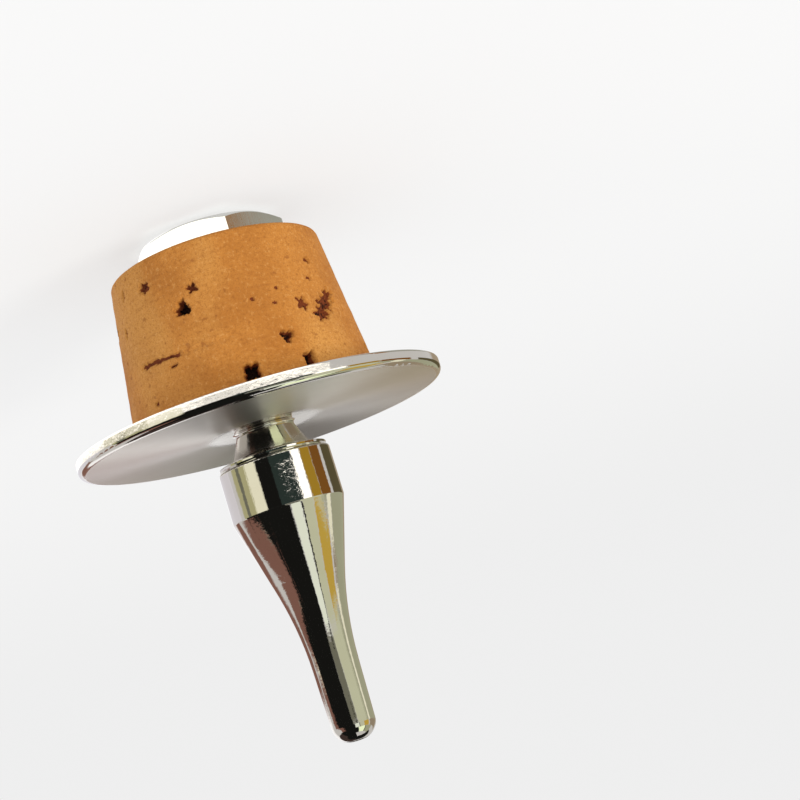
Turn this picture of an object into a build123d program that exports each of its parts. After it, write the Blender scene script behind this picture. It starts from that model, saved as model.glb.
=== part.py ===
from build123d import *

import os
from math import cos, pi, radians, sin, tan
from random import Random

# Bitters dasher top: a plated spout on a flange, stopped with a tapered cork and a thin nut.
# Millimetres. +Z runs up the axis to the spout's tip, -Y is the front, and the origin is on
# the axis at the stem's lower end.

# Flange: plate, coned neck with a lip, stub for the spout and hollow threaded stem
disc_radius = 17.35
disc_thickness = 1.35
rim_face_round = 0.55
rim_cork_round = 0.2
neck_length = 3.17
neck_root_radius = 2.62
neck_root_round = 0.3
neck_lean = 24.0
lip_radius = 5.1
lip_height = 0.45
lip_root_round = 0.6
lip_edge_round = 0.1
joint_groove_radius = 4.6
joint_groove_width = 0.2
stub_radius = 2.5
stub_length = 4.0
stem_radius = 4.0
stem_protrusion = 0.6
thread_chamfer = 0.3
inlet_radius = 2.25
channel_radius = 1.1

# Spout: plain shoulder, straight taper and slender tube
shoulder_radius = 5.28
shoulder_length = 4.77
shoulder_edge_round = 0.2
knee_round = 0.5
taper_length = 10.45
taper_blend_radius = 32.0
tube_length = 11.1
tube_tip_radius = 2.0
tube_draft = 1.2
tip_round = 1.6
orifice_radius = 0.55
orifice_length = 2.0
stub_clearance = 0.05
socket_relief = 0.3

# Cork
cork_height = 15.1
cork_big_radius = 11.75
cork_small_radius = 10.05
cork_edge_round = 0.3
cork_clearance = 0.1

# Thin hexagonal nut
nut_across_flats = 13.0
nut_height = 2.65
nut_chamfer_angle = 30.0
nut_bore_chamfer = 0.4
nut_clearance = 0.05
nut_turn = 14.0

# Pits in the cork's side: azimuth, height as a share of the cork's height, then the pit's
# width, height and depth.
front_pits = [
    (-69, 0.39, 1.5, 1.5, 1.2),
    (-76, 0.29, 1.1, 0.9, 0.6),
    (-50, 0.17, 1.2, 1.2, 0.7),
    (-92, 0.88, 1.9, 1.6, 1.4),
    (-119, 0.91, 1.0, 1.6, 1.3),
    (-112, 0.72, 1.4, 1.1, 0.8),
    (-126, 0.54, 1.4, 1.5, 0.4),
    (-136, 0.61, 1.6, 1.4, 0.6),
    (-144, 0.54, 1.5, 1.5, 0.6),
    (-140, 0.26, 0.9, 0.7, 0.5),
    (-58, 0.69, 1.0, 0.5, 0.4),
]
back_pits = [
    (-8, 0.30, 1.8, 1.3, 1.1),
    (4, 0.74, 2.6, 1.8, 1.4),
    (22, 0.52, 1.5, 1.9, 1.0),
    (41, 0.22, 2.2, 1.4, 1.2),
    (52, 0.80, 1.7, 1.2, 0.9),
    (70, 0.45, 3.0, 2.2, 1.6),
    (94, 0.72, 2.1, 1.5, 1.1),
    (101, 0.20, 1.4, 1.1, 0.8),
    (124, 0.50, 2.6, 1.6, 1.3),
    (148, 0.78, 1.9, 1.9, 1.2),
    (160, 0.33, 2.2, 1.4, 1.0),
    (-166, 0.82, 1.2, 1.0, 0.7),
]
pit_corners = 9
pit_corner_shift = 0.3
pit_reach_range = (0.55, 1.2)
pit_floor_share = 0.5
pit_overrun = 0.5

# A furrow round the cork's side, as overlapping slots: azimuth and share of the height.
furrow_slots = [(-45, 0.620), (-51, 0.625), (-57, 0.635), (-63, 0.640)]
furrow_slot_length = 1.6
furrow_width = 0.35
furrow_depth = 0.5

# Levels up the axis
nut_level = stem_protrusion
cork_level = nut_level + nut_height
disc_level = cork_level + cork_height
neck_level = disc_level + disc_thickness
joint_level = neck_level + neck_length
stub_level = joint_level + stub_length
knee_level = joint_level + shoulder_length
tube_level = knee_level + taper_length
tip_level = tube_level + tube_length

# Flange: the stem, plate, neck and stub are turned in one piece and bored right through.
lip_level = joint_level - lip_height
groove_level = joint_level - joint_groove_width
neck_top_radius = neck_root_radius + (lip_level - neck_level) * tan(radians(neck_lean))
inlet_end = disc_level - (inlet_radius - channel_radius)

with BuildPart() as flange:
    with BuildSketch(Plane.XZ):
        with BuildLine():
            Polyline(
                (0, 0),
                (stem_radius - thread_chamfer, 0),
                (stem_radius, thread_chamfer),
                (stem_radius, disc_level),
            )
            FilletPolyline(
                (stem_radius, disc_level),
                (disc_radius, disc_level),
                (disc_radius, neck_level),
                (neck_root_radius, neck_level),
                (neck_top_radius, lip_level),
                (lip_radius, lip_level),
                (lip_radius, groove_level),
                radius=[
                    rim_cork_round,
                    rim_face_round,
                    neck_root_round,
                    lip_root_round,
                    lip_edge_round,
                ],
            )
            Polyline(
                (lip_radius, groove_level),
                (joint_groove_radius, groove_level),
                (joint_groove_radius, joint_level),
                (stub_radius, joint_level),
                (stub_radius, stub_level - thread_chamfer),
                (stub_radius - thread_chamfer, stub_level),
                (0, stub_level),
                (0, 0),
            )
        make_face()
        with BuildLine():
            Polyline(
                (0, 0),
                (inlet_radius, 0),
                (inlet_radius, inlet_end),
                (channel_radius, disc_level),
                (channel_radius, stub_level),
                (0, stub_level),
                close=True,
            )
        make_face(mode=Mode.SUBTRACT)
    revolve(axis=Axis.Z)

# Spout: turned outside with every edge rounded, and bored for the stub, the channel and the
# dash orifice at its tip.
tube_root_radius = tube_tip_radius + tube_length * tan(radians(tube_draft))
socket_radius = stub_radius + stub_clearance
socket_end = stub_level + socket_relief
channel_end = tip_level - orifice_length

with BuildPart() as spout:
    with BuildSketch(Plane.XZ):
        with BuildLine():
            FilletPolyline(
                (0, joint_level),
                (shoulder_radius, joint_level),
                (shoulder_radius, knee_level),
                (tube_root_radius, tube_level),
                (tube_tip_radius, tip_level),
                (0, tip_level),
                radius=[shoulder_edge_round, knee_round, taper_blend_radius, tip_round],
            )
            Line((0, tip_level), (0, joint_level))
        make_face()
        with BuildLine():
            Polyline(
                (0, joint_level),
                (socket_radius, joint_level),
                (socket_radius, socket_end),
                (channel_radius, socket_end + socket_radius - channel_radius),
                (channel_radius, channel_end),
                (orifice_radius, channel_end + channel_radius - orifice_radius),
                (orifice_radius, tip_level),
                (0, tip_level),
                close=True,
            )
        make_face(mode=Mode.SUBTRACT)
    revolve(axis=Axis.Z)


def cork_side(azimuth, share):
    """The plane that touches the cork's side at an azimuth and a share of its height."""
    radius = cork_small_radius + share * (cork_big_radius - cork_small_radius)
    lean = (cork_big_radius - cork_small_radius) / cork_height
    across, along = cos(radians(azimuth)), sin(radians(azimuth))
    return Plane(
        origin=(radius * across, radius * along, cork_level + share * cork_height),
        x_dir=(-along, across, 0),
        z_dir=(across, along, -lean),
    )


def pit_outline(width, height, seed):
    """The corners of one ragged pit, about as wide and high as asked."""
    chance = Random(seed)
    corners = []
    for corner in range(pit_corners):
        shift = chance.uniform(-pit_corner_shift, pit_corner_shift)
        angle = 2 * pi * (corner + shift) / pit_corners
        reach = chance.uniform(*pit_reach_range) / 2
        corners.append((width * reach * cos(angle), height * reach * sin(angle)))
    return corners


# Cork: a tapered plug with a bore for the stem, its side broken by pits and one furrow.
bore_radius = stem_radius + cork_clearance

with BuildPart() as cork:
    with BuildSketch(Plane.XZ):
        with BuildLine():
            FilletPolyline(
                (bore_radius, cork_level),
                (cork_small_radius, cork_level),
                (cork_big_radius, disc_level),
                (bore_radius, disc_level),
                radius=cork_edge_round,
            )
            Line((bore_radius, disc_level), (bore_radius, cork_level))
        make_face()
    revolve(axis=Axis.Z)
    for seed, (azimuth, share, width, height, depth) in enumerate(front_pits + back_pits):
        side = cork_side(azimuth, share)
        mouth = pit_outline(width, height, seed)
        with BuildSketch(side.offset(pit_overrun)):
            Polygon(*mouth, align=None)
        with BuildSketch(side.offset(-depth)):
            Polygon(*[(x * pit_floor_share, y * pit_floor_share) for x, y in mouth], align=None)
        loft(ruled=True, mode=Mode.SUBTRACT)
    for azimuth, share in furrow_slots:
        with BuildSketch(cork_side(azimuth, share)):
            SlotOverall(furrow_slot_length, furrow_width)
        extrude(amount=-furrow_depth, mode=Mode.SUBTRACT)

# Nut: a hexagon whose corners are turned off at both ends, with a countersunk bore.
nut_radius = nut_across_flats / 2
nut_corner_radius = nut_radius / cos(pi / 6)
nut_corner_drop = (nut_corner_radius - nut_radius) * tan(radians(nut_chamfer_angle))
nut_bore_radius = stem_radius + nut_clearance

with BuildPart() as hex_nut:
    with BuildSketch(Plane.XY.offset(nut_level)):
        RegularPolygon(nut_corner_radius, 6, rotation=nut_turn)
    extrude(amount=nut_height)
    with BuildSketch(Plane.XZ):
        with BuildLine():
            Polyline(
                (0, nut_level),
                (nut_radius, nut_level),
                (nut_corner_radius, nut_level + nut_corner_drop),
                (nut_corner_radius, cork_level - nut_corner_drop),
                (nut_radius, cork_level),
                (0, cork_level),
                close=True,
            )
        make_face()
    revolve(axis=Axis.Z, mode=Mode.INTERSECT)
    with Locations((0, 0, cork_level)):
        Hole(nut_bore_radius)
    bore_rims = hex_nut.edges().filter_by(GeomType.CIRCLE).group_by(SortBy.RADIUS)[0]
    chamfer(bore_rims, nut_bore_chamfer)

flange.part.label = "flange"
spout.part.label = "spout"
cork.part.label = "cork"
hex_nut.part.label = "hex_nut"

os.makedirs("parts", exist_ok=True)
export_step(flange.part, "parts/flange.step")
export_step(spout.part, "parts/spout.step")
export_step(cork.part, "parts/cork.step")
export_step(hex_nut.part, "parts/hex_nut.step")
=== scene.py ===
from math import atan2, cos, degrees, hypot, pi, radians, sin, tan
from random import Random

import bpy
from mathutils import Matrix, Vector, noise


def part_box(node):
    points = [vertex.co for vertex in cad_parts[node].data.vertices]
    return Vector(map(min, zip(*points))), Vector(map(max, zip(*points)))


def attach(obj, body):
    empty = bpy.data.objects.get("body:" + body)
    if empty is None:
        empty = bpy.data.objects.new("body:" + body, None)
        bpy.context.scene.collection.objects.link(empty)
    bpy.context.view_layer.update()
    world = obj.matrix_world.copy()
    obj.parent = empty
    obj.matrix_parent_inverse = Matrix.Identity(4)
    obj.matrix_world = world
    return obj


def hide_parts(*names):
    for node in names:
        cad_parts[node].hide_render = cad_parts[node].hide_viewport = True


# The looks of a bitters dasher top: plated flange and spout, tapered cork and thin nut.
# The CAD flange and spout stay and get their plating here. The cork, the nut and the thread on
# the stem's end are modelled again in full detail, in the places where the CAD has them.
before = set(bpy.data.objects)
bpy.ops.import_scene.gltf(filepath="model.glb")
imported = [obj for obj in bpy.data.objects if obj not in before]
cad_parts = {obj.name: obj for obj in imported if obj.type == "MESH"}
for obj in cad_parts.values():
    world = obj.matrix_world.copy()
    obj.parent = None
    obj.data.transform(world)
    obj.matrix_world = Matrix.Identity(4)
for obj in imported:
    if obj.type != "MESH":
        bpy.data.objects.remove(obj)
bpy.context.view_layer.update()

MM = 0.001

# Sizes that the CAD model also has. Angles are in degrees.
stem_radius = 4.0 * MM
shoulder_length = 4.77 * MM
disc_thickness = 1.35 * MM
rim_face_round = 0.55 * MM
cork_big_radius = 11.75 * MM
cork_small_radius = 10.05 * MM
cork_bore_radius = 4.1 * MM
cork_edge_round = 0.3 * MM
nut_across_flats = 13.0 * MM
nut_turn = 14.0
nut_clearance = 0.05 * MM
nut_bore_chamfer = 0.4 * MM
nut_chamfer_angle = 30.0

disc_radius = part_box("flange")[1].x
shoulder_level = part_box("spout")[0].z
cork_low, cork_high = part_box("cork")
nut_low, nut_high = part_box("hex_nut")
neck_level = cork_high.z + disc_thickness
cork_height = cork_high.z - cork_low.z


# Materials -------------------------------------------------------------------------------

def make(tree, kind, options=None, inputs=None):
    """A shader node with its options set and its inputs linked or filled in."""
    node = tree.nodes.new("ShaderNode" + kind)
    for name, value in (options or {}).items():
        setattr(node, name, value)
    for name, value in (inputs or {}).items():
        if isinstance(value, bpy.types.NodeSocket):
            tree.links.new(value, node.inputs[name])
        else:
            node.inputs[name].default_value = value
    return node


def new_material(name):
    """A node material, its tree and its Principled shader."""
    material = bpy.data.materials.new(name)
    material.use_nodes = True
    return material, material.node_tree, material.node_tree.nodes["Principled BSDF"]


def math(tree, operation, a, b=0.0, c=0.0):
    return make(tree, "Math", {"operation": operation}, {0: a, 1: b, 2: c}).outputs[0]


def times(tree, *values):
    """The product of two or more values."""
    product = values[0]
    for value in values[1:]:
        product = math(tree, "MULTIPLY", product, value)
    return product


def between(tree, value, start, end):
    """0 where the value is at start and 1 where it is at end, smooth in between."""
    options = {"interpolation_type": "SMOOTHSTEP"}
    inputs = {"Value": value, "From Min": start, "From Max": end}
    return make(tree, "MapRange", options, inputs).outputs["Result"]


def spread(tree, value, low, high):
    """Maps 0..1 onto low..high."""
    inputs = {"Value": value, "To Min": low, "To Max": high}
    return make(tree, "MapRange", None, inputs).outputs["Result"]


def mix(tree, factor, a, b):
    node = make(tree, "Mix", {"data_type": "RGBA"})
    for socket, value in zip((node.inputs[0], node.inputs[6], node.inputs[7]), (factor, a, b)):
        if isinstance(value, bpy.types.NodeSocket):
            tree.links.new(value, socket)
        else:
            socket.default_value = (*value, 1) if isinstance(value, tuple) else value
    return node.outputs[2]


def stain(tree, base, value, start, end, amount, colour):
    """Puts a colour on the base by an amount where the value nears its end."""
    return mix(tree, times(tree, between(tree, value, start, end), amount), base, colour)


def place(tree, scale=(1, 1, 1)):
    """The point on the object in millimetres, stretched by scale."""
    point = make(tree, "TexCoord").outputs["Object"]
    size = tuple(s / MM for s in scale)
    return make(tree, "Mapping", None, {"Vector": point, "Scale": size}).outputs["Vector"]


def cloud(tree, point, scale, detail=3.0, roughness=0.5, distortion=0.0):
    inputs = {
        "Vector": point, "Scale": scale, "Detail": detail, "Roughness": roughness,
        "Distortion": distortion,
    }
    return make(tree, "TexNoise", None, inputs).outputs["Fac"]


def bump(tree, height, distance, strength=1.0, normal=None):
    inputs = {"Height": height, "Distance": distance, "Strength": strength}
    if normal is not None:
        inputs["Normal"] = normal
    return make(tree, "Bump", None, inputs).outputs["Normal"]


def point_and_parts(tree):
    """The point on the object with its x, y, height and distance from the axis in millimetres."""
    point = place(tree)
    axes = make(tree, "SeparateXYZ", None, {"Vector": point})
    x, y, z = axes.outputs
    square = math(tree, "MULTIPLY_ADD", x, x, times(tree, y, y))
    return point, x, y, z, math(tree, "SQRT", square)


def plating(name, satin_face=False, rough_patch=False):
    """Bright nickel plate, mirror-smooth with a faint orange peel. It may have the flange's
    satin, turned plate face, or the rough patch on the front of the spout's shoulder."""
    material, tree, shader = new_material(name)
    point, x, y, height, radius = point_and_parts(tree)
    shader.inputs["Metallic"].default_value = 1
    haze = cloud(tree, point, 0.35, 4)
    tint = mix(tree, haze, (0.66, 0.625, 0.575), (0.72, 0.695, 0.655))
    tree.links.new(tint, shader.inputs["Base Color"])
    smear = spread(tree, cloud(tree, point, 1.3, 5, 0.65), 0.01, 0.05)
    peel = cloud(tree, point, 1.6, 2, 0.4)
    ripple = bump(tree, peel, 0.012 * MM, 0.6)
    grain = bump(tree, cloud(tree, point, 5.0, 2), 0.004 * MM, 0.7, ripple)
    if rough_patch:
        # Where the patch starts and is full, in millimetres
        low = shoulder_level / MM
        high = low + shoulder_length / MM
        front = between(tree, y, -4.0, -5.0)
        side = times(tree, between(tree, x, 0.6, -0.6), between(tree, x, -2.0, -1.2))
        belt = times(tree, between(tree, height, low + 0.5, low + 1.2),
                     between(tree, height, high + 0.2, high - 0.5))
        rough = math(tree, "SUBTRACT", cloud(tree, point, 2.8, 3, 0.6), 0.5)
        patch = times(tree, front, side, belt)
        grain = bump(tree, times(tree, rough, patch), 0.035 * MM, 0.8, grain)
    if satin_face:
        face = neck_level / MM
        rim = disc_radius / MM - rim_face_round / MM
        on_face = times(tree, between(tree, height, face - 0.03, face - 0.005),
                        between(tree, height, face + 0.05, face + 0.02),
                        between(tree, radius, rim + 0.05, rim - 0.1))
        worn = spread(tree, between(tree, radius, 4.3, 6.0), 0.07, 0.36)
        smear = math(tree, "MULTIPLY_ADD", on_face, worn, smear)
        shader.inputs["Anisotropic"].default_value = 0.85
        shader.inputs["Anisotropic Rotation"].default_value = 0.25
        radial = make(tree, "Tangent", {"direction_type": "RADIAL", "axis": "Z"})
        tree.links.new(radial.outputs["Tangent"], shader.inputs["Tangent"])
    tree.links.new(smear, shader.inputs["Roughness"])
    tree.links.new(grain, shader.inputs["Normal"])
    return material


def zinc():
    """The nut's duller plate, with fine marks from the bar it was cut from."""
    material, tree, shader = new_material("zinc_plate")
    point = place(tree)
    shader.inputs["Metallic"].default_value = 1
    tint = mix(tree, cloud(tree, point, 0.9, 4), (0.66, 0.66, 0.61), (0.78, 0.78, 0.75))
    tree.links.new(tint, shader.inputs["Base Color"])
    rough = spread(tree, cloud(tree, point, 2.2, 5, 0.6), 0.08, 0.22)
    tree.links.new(rough, shader.inputs["Roughness"])
    drawn = cloud(tree, place(tree, (3.0, 3.0, 0.25)), 1.8, 3)
    tree.links.new(bump(tree, drawn, 0.006 * MM, 0.5), shader.inputs["Normal"])
    return material


def cork_skin():
    """Sanded cork: orange tan with lighter bands, wavy growth lines and dark pits, which go to near
    black where painted shade fills them.
    """
    material, tree, shader = new_material("cork")
    point = place(tree)
    # The mesh carries each point's darkness: the pits' own dark colour plus painted shade in the
    # pits and the furrow.
    pit_tone_and_shade = make(tree, "Attribute", {"attribute_name": "pit_tone_and_shade"}).outputs["Fac"]
    bands = cloud(tree, place(tree, (0.16, 0.16, 0.05)), 1.0, 2)
    patches = cloud(tree, point, 0.22, 4, 0.55)
    waves = cloud(tree, place(tree, (0.35, 0.35, 2.6)), 1.0, 4, 0.55, 0.6)
    grain = cloud(tree, point, 3.2, 4, 0.6)
    speckle = cloud(tree, point, 8.0, 3, 0.7)
    flecks = cloud(tree, point, 1.35, 2, 0.5)
    tan_tints = (0.35, 0.130, 0.022), (0.43, 0.172, 0.032)
    base = mix(tree, between(tree, patches, 0.32, 0.68), *tan_tints)
    base = stain(tree, base, bands, 0.48, 0.72, 0.7, (0.50, 0.24, 0.058))
    base = stain(tree, base, waves, 0.54, 0.75, 0.35, (0.27, 0.09, 0.016))
    base = stain(tree, base, grain, 0.53, 0.75, 0.65, (0.24, 0.08, 0.014))
    base = stain(tree, base, grain, 0.47, 0.27, 0.5, (0.56, 0.29, 0.09))
    base = stain(tree, base, speckle, 0.50, 0.66, 0.6, (0.24, 0.085, 0.016))
    base = stain(tree, base, flecks, 0.66, 0.74, 0.55, (0.20, 0.06, 0.012))
    uneven = math(tree, "SUBTRACT", grain, 0.5)
    ragged = math(tree, "MULTIPLY_ADD", uneven, 0.7, pit_tone_and_shade)
    pit_shade_mix = math(tree, "MULTIPLY_ADD", uneven, 0.8, pit_tone_and_shade)
    pit = between(tree, ragged, 0.28, 0.50)
    # Pit colours: their own dark brown, going to near black for the painted shade deep in them.
    pit_tints_and_shade = (0.155, 0.036, 0.010), (0.012, 0.004, 0.0025)
    pit_tint_and_shade = mix(tree, between(tree, pit_shade_mix, 0.70, 0.95), *pit_tints_and_shade)
    base = mix(tree, pit, base, pit_tint_and_shade)
    tree.links.new(base, shader.inputs["Base Color"])
    rough = spread(tree, grain, 0.7, 0.9)
    tree.links.new(rough, shader.inputs["Roughness"])
    shader.inputs["Specular IOR Level"].default_value = 0.15
    fine = cloud(tree, point, 7.0, 4, 0.65)
    relief = bump(tree, fine, 0.09 * MM, 0.7)
    relief = bump(tree, waves, 0.06 * MM, 0.5, relief)
    tree.links.new(relief, shader.inputs["Normal"])
    return material


# Building meshes -------------------------------------------------------------------------

def add_object(name, mesh, material):
    thing = bpy.data.objects.new(name, mesh)
    bpy.context.scene.collection.objects.link(thing)
    mesh.materials.append(material)
    return thing


def dress(node, material):
    """Gives a CAD node its finish."""
    for place_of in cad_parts[node].material_slots:
        place_of.material = material


def point_round(azimuth, radius, level):
    """The point at an azimuth in radians, a radius and a level in millimetres, in metres."""
    return radius * cos(azimuth) * MM, radius * sin(azimuth) * MM, level * MM


def closed_skin(name, vertices, steps):
    """A mesh from rings of so many points, each joined to the next and the last to the first."""
    rings = len(vertices) // steps
    faces = []
    for ring in range(rings):
        above = (ring + 1) % rings
        for step in range(steps):
            beside = (step + 1) % steps
            faces.append((ring * steps + step, ring * steps + beside,
                          above * steps + beside, above * steps + step))
    return plain_mesh(name, vertices, faces)


def plain_mesh(name, vertices, faces):
    mesh = bpy.data.meshes.new(name)
    mesh.from_pydata(vertices, [], faces)
    mesh.update()
    return mesh


def paint(mesh, name, values):
    """Gives each of a mesh's points a number that its material reads by name."""
    layer = mesh.attributes.new(name, "FLOAT", "POINT")
    layer.data.foreach_set("value", values)


# Cork ------------------------------------------------------------------------------------

cork_steps_round = 620
cork_steps_up = 122
cork_steps_edge = 4
cork_steps_end = 18
pit_seed = 5
pit_edge = 0.82
pit_fray = 0.22
pit_reach_limit = 2.2
# Pits reach their full painted shade at dark_pit_depth; furrow_shade is the painted shade in the
# furrow.
dark_pit_depth = 1.2
furrow_depth = 0.35
furrow_shade = 0.75

# Pits in the cork: azimuth, share of the cork's height, the pit's width, height and depth in
# millimetres, how many points its ragged outline has, how far they stand out, and which way one
# of them points.
seen_pits = [
    (-69, 0.39, 1.7, 1.5, 1.2, 3, 0.16, 20),
    (-76, 0.29, 1.1, 1.0, 0.5, 4, 0.24, 60),
    (-50, 0.17, 1.3, 1.3, 0.5, 5, 0.20, 10),
    (-92, 0.88, 1.9, 1.7, 1.4, 4, 0.14, 45),
    (-119, 0.90, 1.2, 2.4, 1.3, 3, 0.14, 90),
    (-112, 0.72, 1.4, 1.2, 0.8, 3, 0.26, 80),
    (-126, 0.54, 1.3, 1.4, 0.4, 5, 0.28, 30),
    (-136, 0.61, 2.1, 1.7, 0.6, 6, 0.25, 0),
    (-140, 0.55, 2.2, 1.8, 0.6, 5, 0.25, 50),
    (-145, 0.50, 1.7, 1.8, 0.5, 6, 0.25, 20),
    (-140, 0.26, 0.8, 0.8, 0.5, 3, 0.20, 0),
    (-136, 0.38, 0.6, 0.6, 0.3, 4, 0.25, 0),
    (-58, 0.69, 1.0, 0.35, 0.5, 2, 0.10, 0),
    (-44, 0.86, 0.5, 0.5, 0.3, 3, 0.15, 0),
    (-102, 0.46, 0.5, 0.5, 0.2, 3, 0.15, 0),
    (-112, 0.51, 0.5, 0.35, 0.2, 3, 0.15, 0),
    (-115, 0.42, 0.4, 0.4, 0.2, 3, 0.15, 0),
    (-32, 0.14, 0.5, 1.1, 0.3, 2, 0.15, 90),
    (-28, 0.36, 0.5, 1.1, 0.3, 2, 0.15, 90),
]
far_pits = [
    (-8, 0.30, 1.9, 1.4, 1.1, 4, 0.20, 10),
    (4, 0.74, 2.8, 1.9, 1.4, 5, 0.24, 50),
    (22, 0.52, 1.6, 2.0, 1.0, 4, 0.22, 20),
    (41, 0.22, 2.3, 1.5, 1.2, 5, 0.20, 0),
    (52, 0.80, 1.8, 1.3, 0.9, 3, 0.24, 70),
    (70, 0.45, 3.1, 2.3, 1.6, 5, 0.26, 30),
    (94, 0.72, 2.2, 1.6, 1.1, 4, 0.22, 15),
    (101, 0.20, 1.5, 1.2, 0.8, 3, 0.20, 40),
    (124, 0.50, 2.7, 1.7, 1.3, 5, 0.24, 80),
    (148, 0.78, 2.0, 2.0, 1.2, 4, 0.22, 45),
    (160, 0.33, 2.3, 1.5, 1.0, 5, 0.22, 5),
    (-166, 0.82, 1.3, 1.1, 0.7, 4, 0.20, 25),
]
# The furrow round the side, as azimuth and share of the height
furrow = [(-36, 0.615), (-45, 0.620), (-51, 0.625), (-57, 0.636), (-63, 0.641), (-94, 0.643)]


def ease(value, start, end):
    """0 up to start and 1 from end on, with a smooth rise."""
    t = min(max((value - start) / (end - start), 0.0), 1.0)
    return t * t * (3 - 2 * t)


def pit_shapes(pits):
    """Each pit's middle, half size, depth and outline waves, ready for the loop over the points."""
    chance = Random(pit_seed)
    made = []
    for azimuth, share, width, height, depth, points, reach, turn in pits:
        waves = [(points, reach, radians(turn) * points)]
        waves += [(k, 0.05, chance.uniform(0, 2 * pi)) for k in (2, 5, 7, 11)]
        made.append((radians(azimuth), share, width / 2, height / 2, depth, waves))
    return made


def hollow_at(azimuth, share, radius, pits, warp):
    """How deep the pits go at a point of the cork's side, in millimetres, and how dark it is: the
    pits' own dark colour, with painted shade that deepens with their depth.
    """
    deepest, darkest = 0.0, 0.0
    for centre, level, half_width, half_height, depth, waves in pits:
        across = (azimuth - centre + pi) % (2 * pi) - pi
        across = across * radius / half_width
        along = (share - level) * cork_height / MM / half_height
        if max(abs(across), abs(along)) > pit_reach_limit:
            continue
        angle = atan2(along, across)
        edge = pit_edge + sum(size * cos(k * angle - phase) for k, size, phase in waves)
        outwards = hypot(across, along) / max(edge, 0.25) + pit_fray * warp
        cover = ease(outwards, 1.12, 0.80)
        # A pit's darkness grows with its depth: painted shade on top of its own dark colour.
        shade = 0.62 + 0.38 * min(depth / dark_pit_depth, 1.0)
        deepest = max(deepest, depth * cover)
        darkest = max(darkest, cover * shade)
    return deepest, darkest


def furrow_at(azimuth, share, warp):
    """How deep the furrow is, from 0 to 1: it wanders, and is faint beyond its first part."""
    turn = degrees(azimuth)
    if not furrow[-1][0] < turn < furrow[0][0]:
        return 0.0
    for (start, low), (end, high) in zip(furrow, furrow[1:]):
        if end <= turn <= start:
            part = (start - turn) / (start - end)
            middle = low + part * (high - low)
            break
    away = abs((share - middle) * cork_height / MM + 0.18 * warp)
    fade = ease(turn, -66, -58) * 0.75 + 0.25 * ease(turn, -93, -88)
    fade *= ease(turn, furrow[0][0], furrow[0][0] - 4)
    return fade * ease(away, 0.26, 0.10)


def cork_rings():
    """The cork's outline from the bore round to the bore: kind, radius and level of each ring."""
    low, high = cork_low.z / MM, cork_high.z / MM
    small, big = cork_small_radius / MM, cork_big_radius / MM
    bore, edge = cork_bore_radius / MM, cork_edge_round / MM
    turns = [pi / 2 * k / cork_steps_edge for k in range(cork_steps_edge + 1)]
    rings = []
    for k in range(cork_steps_end):
        rings.append(("end", bore + (small - edge - bore) * k / cork_steps_end, low))
    for a in turns[:-1]:
        rings.append(("edge", small - edge + edge * sin(a), low + edge * (1 - cos(a))))
    for k in range(cork_steps_up + 1):
        share = edge / (high - low) + (1 - 2 * edge / (high - low)) * k / cork_steps_up
        rings.append(("side", small + share * (big - small), low + share * (high - low)))
    for a in turns[1:]:
        rings.append(("edge", big - edge * (1 - cos(a)), high - edge + edge * sin(a)))
    rings.append(("top", bore, high))
    return rings


def side_relief(azimuth, share, radius, level, pits):
    """How far a point of the cork's side lies inside its taper, in millimetres, with its pits,
    furrow and unevenness, and how dark it is, with painted shade in the pits and the furrow."""
    x, y = radius * cos(azimuth), radius * sin(azimuth)
    warp = noise.noise((x * 2.2, y * 2.2, level * 2.2))
    warp += 0.6 * noise.noise((x * 5.5, y * 5.5, level * 5.5))
    depth, dark = hollow_at(azimuth, share, radius, pits, warp)
    line = furrow_at(azimuth, share, warp)
    depth = max(depth, furrow_depth * line)
    # The furrow is darkened by painted shade in its crease.
    dark = max(dark, furrow_shade * line)
    depth *= 1 + 0.25 * warp
    depth += 0.03 + 0.03 * noise.noise((x * 0.9, y * 0.9, level * 0.9))
    depth += 0.012 * noise.noise((x * 4, y * 4, level * 9))
    return depth, dark


def end_relief(azimuth, radius):
    """How far a point of the cork's small end lies inside it, and how dark it is: its pits' own
    dark colour, with painted shade growing where they lie deeper.
    """
    x, y = radius * cos(azimuth), radius * sin(azimuth)
    grain = noise.fractal((x * 1.3, y * 1.3, 3.0), 1.0, 2.0, 3)
    return 0.02 + 0.25 * max(0.0, grain - 0.55), ease(grain, 0.62, 0.85)


def cork_mesh():
    """The cork's side, both ends and bore as one closed skin of rings."""
    pits = pit_shapes(seen_pits + far_pits)
    vertices, pit_tones_and_shade = [], []
    for kind, radius, level in cork_rings():
        share = (level * MM - cork_low.z) / cork_height
        for step in range(cork_steps_round):
            azimuth = 2 * pi * step / cork_steps_round - pi
            inward, upward, dark = 0.0, 0.0, 0.0
            if kind in ("side", "edge"):
                inward, dark = side_relief(azimuth, share, radius, level, pits)
            elif kind == "end":
                upward, dark = end_relief(azimuth, radius)
            vertices.append(point_round(azimuth, radius - inward, level + upward))
            pit_tones_and_shade.append(dark)
    mesh = closed_skin("cork_body", vertices, cork_steps_round)
    mesh.polygons.foreach_set("use_smooth", [True] * len(mesh.polygons))
    # Each point's darkness: the pits' own dark colour and painted shade in the pits and the furrow.
    paint(mesh, "pit_tone_and_shade", pit_tones_and_shade)
    return mesh


# Nut and thread --------------------------------------------------------------------------

nut_steps_round = 240
# In millimetres
nut_soft_edge = 0.07
thread_pitch = 1.25
thread_start = 0.31
thread_ridge = 0.16
thread_sink = 0.12
thread_root_half = 0.30
thread_crest_half = 0.07
thread_turns = 1.1
thread_steps_a_turn = 120


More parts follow.
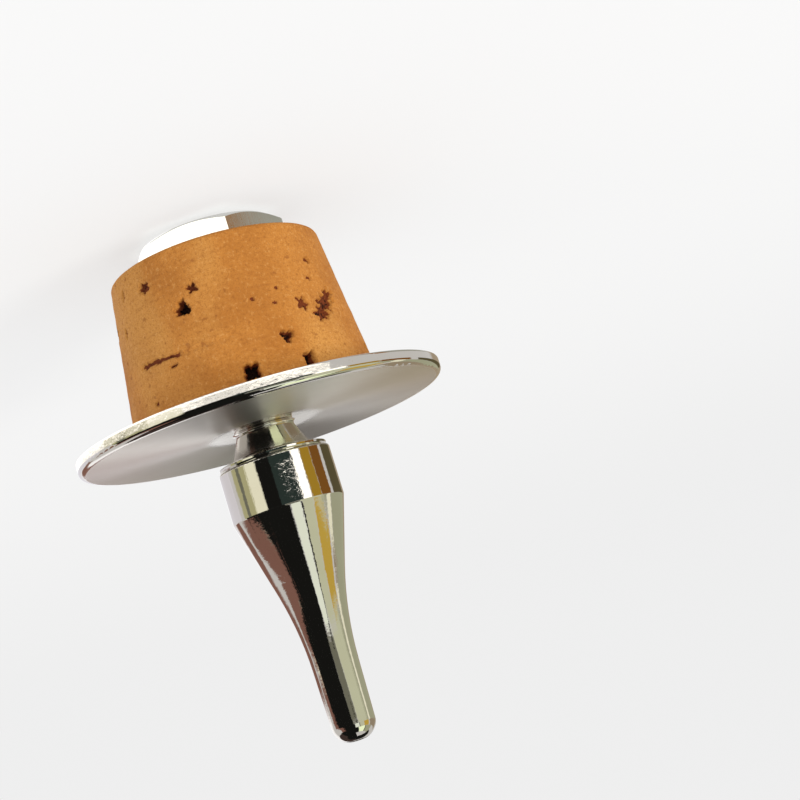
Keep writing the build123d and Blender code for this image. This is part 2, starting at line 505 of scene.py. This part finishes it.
def nut_outline(azimuth):
    """The nut's radii and levels at an azimuth, from the bore round to the bore."""
    flat = nut_across_flats / 2 / MM
    low, high = nut_low.z / MM, nut_high.z / MM
    bore = (stem_radius + nut_clearance) / MM
    sink = nut_bore_chamfer / MM
    face = flat * 0.985
    soft = nut_soft_edge
    from_flat = (azimuth - radians(nut_turn)) % (pi / 3) - pi / 6
    reach = flat / cos(from_flat)
    turned = max(0.0, reach - face) * tan(radians(nut_chamfer_angle))
    outline = [
        (bore, low + sink),
        (bore + sink, low),
        (face, low),
        (reach - soft, low + turned - soft * 0.3),
        (reach, low + turned + soft),
        (reach, high - turned - soft),
        (reach - soft, high - turned + soft * 0.3),
        (face, high),
        (bore + sink, high),
        (bore, high - sink),
    ]
    return [(radius, min(max(level, low), high)) for radius, level in outline]


def nut_mesh():
    """A thin nut: hexagon with turned corners, softened edges and a countersunk bore."""
    azimuths = [2 * pi * step / nut_steps_round for step in range(nut_steps_round)]
    outlines = [nut_outline(azimuth) for azimuth in azimuths]
    vertices = [point_round(azimuth, *place_of)
                for ring in zip(*outlines) for azimuth, place_of in zip(azimuths, ring)]
    return closed_skin("nut_body", vertices, nut_steps_round)


def thread_mesh():
    """The last turn of thread on the stem's bare end, as a ridge that runs out at each end."""
    steps = int(thread_steps_a_turn * thread_turns)
    vertices = []
    for step in range(steps + 1):
        part = step / steps
        azimuth = 2 * pi * thread_turns * part
        middle = thread_start + thread_pitch * thread_turns * part
        root = stem_radius / MM - thread_sink
        crest = root + thread_ridge * min(1.0, 6 * part, 6 * (1 - part))
        for radius, up in ((root, -thread_root_half), (crest, -thread_crest_half),
                           (crest, thread_crest_half), (root, thread_root_half)):
            vertices.append(point_round(azimuth, radius, middle + up))
    faces = []
    for step in range(steps):
        for k in range(4):
            n = (k + 1) % 4
            faces.append((4 * step + k, 4 * step + n, 4 * step + 4 + n, 4 * step + 4 + k))
    faces.append((3, 2, 1, 0))
    last = 4 * steps
    faces.append((last, last + 1, last + 2, last + 3))
    return plain_mesh("thread", vertices, faces)


# Camera ----------------------------------------------------------------------------------

camera_place = (0, -128.8 * MM, 40.13 * MM)
camera_back = (0.0984, -0.9815, 0.1642)
camera_right = (-0.9525, -0.0451, 0.3012)


def set_camera():
    """The camera looks at the part's front from level with the spout, rolled over, because the
    part was pictured lying with its spout towards the viewer's feet."""
    camera = bpy.data.objects.new("camera", bpy.data.cameras.new("camera"))
    bpy.context.scene.collection.objects.link(camera)
    back = Vector(camera_back).normalized()
    right = Vector(camera_right)
    right = (right - back * right.dot(back)).normalized()
    turned = Matrix((right, back.cross(right), back)).transposed().to_4x4()
    camera.matrix_world = Matrix.Translation(camera_place) @ turned
    camera.data.sensor_width = 36
    camera.data.lens = 62.9
    camera.data.shift_x = 0.0086
    camera.data.shift_y = -0.029
    camera.data.clip_start = 0.01
    bpy.context.scene.camera = camera


# Studio ----------------------------------------------------------------------------------

room_middle = Vector((0, 0, 45 * MM))
room_radius = 300 * MM
card_steps = 12


def glow(name, colour, faded=False):
    """A plain light, which may let what is behind it through where its cover is below 1."""
    material = bpy.data.materials.new(name)
    material.use_nodes = True
    tree = material.node_tree
    tree.nodes.clear()
    light = make(tree, "Emission", None, {"Color": (*colour, 1)}).outputs[0]
    if faded:
        cover = make(tree, "Attribute", {"attribute_name": "cover"}).outputs["Fac"]
        clear = make(tree, "BsdfTransparent").outputs[0]
        light = make(tree, "MixShader", None, {0: cover, 1: clear, 2: light}).outputs[0]
    make(tree, "OutputMaterial", None, {"Surface": light})
    return material


def only_reflected(thing):
    thing.visible_camera = False
    thing.visible_diffuse = False
    thing.visible_transmission = False
    thing.visible_volume_scatter = False
    thing.visible_shadow = False


def stations(start, end, soft):
    """Even steps from start to end, with one more outside each for the faded edge."""
    inner = [start + (end - start) * k / card_steps for k in range(card_steps + 1)]
    return [start - soft, *inner, end + soft]


def card(name, azimuths, heights, colour, upper=None, soft=3.0, distance=90.0):
    """A curved card in one colour, seen only in the part's reflections: its azimuths and heights
    in degrees, seen from the room's middle, and its distance in millimetres. Its edges fade over
    so many degrees. One that leans has other azimuths at its upper edge."""
    vertices, cover = [], []
    rows = stations(*heights, soft)
    for j, height in enumerate(rows):
        lean = min(max((height - heights[0]) / (heights[1] - heights[0]), 0.0), 1.0)
        ends = [low + (high - low) * lean for low, high in zip(azimuths, upper or azimuths)]
        level = radians(min(max(height, -89.0), 89.0))
        for i, azimuth in enumerate(stations(*ends, soft)):
            turn = radians(azimuth)
            way = Vector((cos(turn) * cos(level), sin(turn) * cos(level), sin(level)))
            vertices.append(room_middle + way * distance * MM)
            edge = i in (0, len(rows) - 1) or j in (0, len(rows) - 1)
            cover.append(0.0 if edge else 1.0)
    width = len(rows)
    faces = [(j * width + i, j * width + i + 1, (j + 1) * width + i + 1, (j + 1) * width + i)
             for j in range(width - 1) for i in range(width - 1)]
    mesh = plain_mesh(name, vertices, faces)
    paint(mesh, "cover", cover)
    thing = add_object(name, mesh, glow(name, colour, True))
    only_reflected(thing)


# The cards stand round the part like a small studio: a dark room where the viewer is, windows
# beside and under it, and warm and green walls.
dark = (0.010, 0.010, 0.009)
teal = (0.030, 0.045, 0.040)
window = (2.0, 1.95, 1.8)
white = (1.0, 1.07, 0.92)
cream = (1.05, 1.03, 0.80)
olive = (0.20, 0.20, 0.15)
green = (0.45, 0.46, 0.32)
pale_green = (0.68, 0.70, 0.50)
yellow_green = (0.52, 0.50, 0.28)
red_brown = (0.26, 0.13, 0.10)
gold = (0.66, 0.45, 0.08)
bronze = (0.45, 0.27, 0.03)
brown = (0.24, 0.10, 0.02)
lilac = (0.84, 0.82, 0.88)
rust = (0.38, 0.17, 0.05)
sand = (0.42, 0.34, 0.24)
taupe = (0.38, 0.31, 0.22)
murk = (0.12, 0.10, 0.05)
dusk = (0.10, 0.09, 0.08)
dark_brown = (0.06, 0.04, 0.035)
grey = (0.28, 0.28, 0.26)
pale_grey = (0.42, 0.42, 0.37)
daylight = (1.2, 1.2, 1.2)
cool_daylight = (1.2, 1.2, 1.22)
green_daylight = (1.2, 1.35, 0.9)

# Heights in degrees of what the part's surfaces mirror
shoulder_heights = (-23, -11)
wide_shoulder_heights = (-24, -10)
taper_heights = (11, 31)
tube_heights = (-8, 7)
neck_heights = (33, 60)
nut_heights = (-64, -32)


def set_cards():
    # The dark room, which leans over towards the spout's front
    card("dark_low", (-85, 1), (-10, 4), dark)
    card("dark_middle", (-85, 1), (4, 14), dark, upper=(-93, -30))
    card("dark_high", (-93, -31), (14, 31), dark, upper=(-95, -40))
    card("dark_shoulder", (-79, -51), shoulder_heights, dark, soft=1.5)
    card("teal_wall", (-122, -76), shoulder_heights, teal, soft=1.5, distance=90.5)
    card("ceiling", (-110, -2), (31, 62), dark)
    card("ceiling_side", (-1, 80), (33, 62), dark_brown)
    card("ceiling_top", (-85, 62), (60, 88), dark, distance=89)
    card("ceiling_far", (50, 160), (50, 88), dark, distance=91)
    # Beside the shoulder
    card("lilac_wall", (18, 70), shoulder_heights, lilac)
    card("cream_wall", (-50, -28), wide_shoulder_heights, cream)
    card("olive_wall", (-27, 5), wide_shoulder_heights, yellow_green)
    card("olive_post", (-12, -6), wide_shoulder_heights, olive, soft=2.0, distance=89)
    card("window_side", (-141, -125), shoulder_heights, window, soft=1.5)
    card("bronze_wall", (-164, -144), shoulder_heights, bronze, soft=1.5)
    card("brown_wall", (-190, -166), shoulder_heights, brown, soft=1.5)
    card("brown_end", (-238, -200), shoulder_heights, murk, soft=2.0)
    # Beside the taper
    card("red_edge", (34, 80), (-6, 2), red_brown)
    card("red_low", (0, 24), (3, 12), red_brown, upper=(-20, 3))
    card("red_middle", (-21, 2), (12, 17), red_brown, upper=(-38, -16))
    card("red_high", (-39, -16), (17, 31), red_brown)
    card("thin_window", (-4, 12), (1, 14), cream, upper=(-34, -20), distance=93)
    card("window_high", (-116, -98), taper_heights, white)
    card("post_low", (-106, -104), (6, 15), dark, upper=(-121, -119), soft=1.0, distance=89)
    card("post_high", (-121, -119), (15, 31), dark, soft=1.0, distance=89)
    card("green_high", (-143, -122), taper_heights, pale_green)
    card("gold_wall", (-175, -147), (10.6, 30), gold, soft=2.0)
    card("pale_wall", (-168, -145), (2, 9.5), pale_green)
    card("taper_side", (-240, -184), (11, 30), taupe)
    # Beside the tube
    card("tube_olive", (-114, -88), tube_heights, olive)
    card("tube_pale", (-164, -118), tube_heights, pale_green, distance=90.5)
    card("tube_green", (-176, -166), tube_heights, green)
    card("tube_line", (-187, -179), (-8, 9), cream, soft=2.0)
    card("tube_side", (-240, -190), (-8, 9), green)
    # Above, where the neck sees them by way of the plate
    card("neck_window", (-150, -113), neck_heights, green_daylight)
    card("neck_post", (-155, -151), neck_heights, dark, soft=1.0, distance=89)
    card("neck_green", (-198, -156), neck_heights, green)
    # Under the part and behind it
    card("window_low", (-132, 60), (-72, -26), window, soft=2.0, distance=91)
    card("dark_skirt", (-88, -66), (-34, -27), grey, soft=2.0)
    card("nut_window", (30, 90), nut_heights, daylight, distance=92)
    card("nut_wall", (140, 186), nut_heights, pale_grey)
    card("nut_brown", (182.5, 192), nut_heights, rust, soft=1.0, distance=89)
    card("far_post", (84, 95), (-2, 40), dusk, soft=4.0)
    card("far_light", (44, 80), (-40, 39), cool_daylight, soft=8.0, distance=93)
    card("far_warm", (104, 135), (-30, 10), sand, soft=6.0, distance=93)


def set_studio():
    scene = bpy.context.scene
    scene.view_settings.view_transform = "Standard"
    world = bpy.data.worlds.new("studio")
    world.use_nodes = True
    world.node_tree.nodes["Background"].inputs["Color"].default_value = (0.86, 0.86, 0.86, 1)
    world.node_tree.nodes["Background"].inputs["Strength"].default_value = 1.0
    scene.world = world

    bpy.ops.mesh.primitive_uv_sphere_add(segments=48, ring_count=24, radius=room_radius)
    room = bpy.context.object
    room.name = "room"
    room.data.materials.append(glow("room", (0.72, 0.71, 0.70)))
    only_reflected(room)
    set_cards()

    bpy.ops.mesh.primitive_circle_add(vertices=96, radius=4.0, fill_type="NGON")
    floor = bpy.context.object
    floor.name = "floor"
    material, tree, shader = new_material("floor")
    shader.inputs["Base Color"].default_value = (0.25, 0.25, 0.25, 1)
    shader.inputs["Specular IOR Level"].default_value = 0
    shader.inputs["Roughness"].default_value = 0.9
    shader.inputs["Emission Color"].default_value = (1, 1, 1, 1)
    shader.inputs["Emission Strength"].default_value = 0.645
    floor.data.materials.append(material)
    floor.visible_glossy = False

    middle = Vector((0, 0, 20 * MM))

    def lamp(name, place_of, size, watts, colour):
        data = bpy.data.lights.new(name, "AREA")
        data.size = size
        data.energy = watts
        data.color = colour
        thing = bpy.data.objects.new(name, data)
        scene.collection.objects.link(thing)
        thing.location = place_of
        thing.rotation_mode = "QUATERNION"
        thing.rotation_quaternion = (Vector(place_of) - middle).to_track_quat("Z", "Y")
        thing.visible_glossy = False

    lamp("key", (-0.30, -0.30, 0.14), 0.16, 1.6, (1.0, 0.98, 0.94))
    lamp("fill", (0.30, -0.25, 0.10), 0.3, 0.5, (1.0, 0.99, 0.98))


dress("flange", plating("nickel_flange", satin_face=True))
dress("spout", plating("nickel_spout", rough_patch=True))

cork = add_object("cork_body", cork_mesh(), cork_skin())
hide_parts("cork")
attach(cork, "root")
nut = add_object("nut_body", nut_mesh(), zinc())
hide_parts("hex_nut")
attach(nut, "root")
thread = add_object("stem_thread", thread_mesh(), plating("nickel_thread"))
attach(thread, "root")

set_camera()
set_studio()
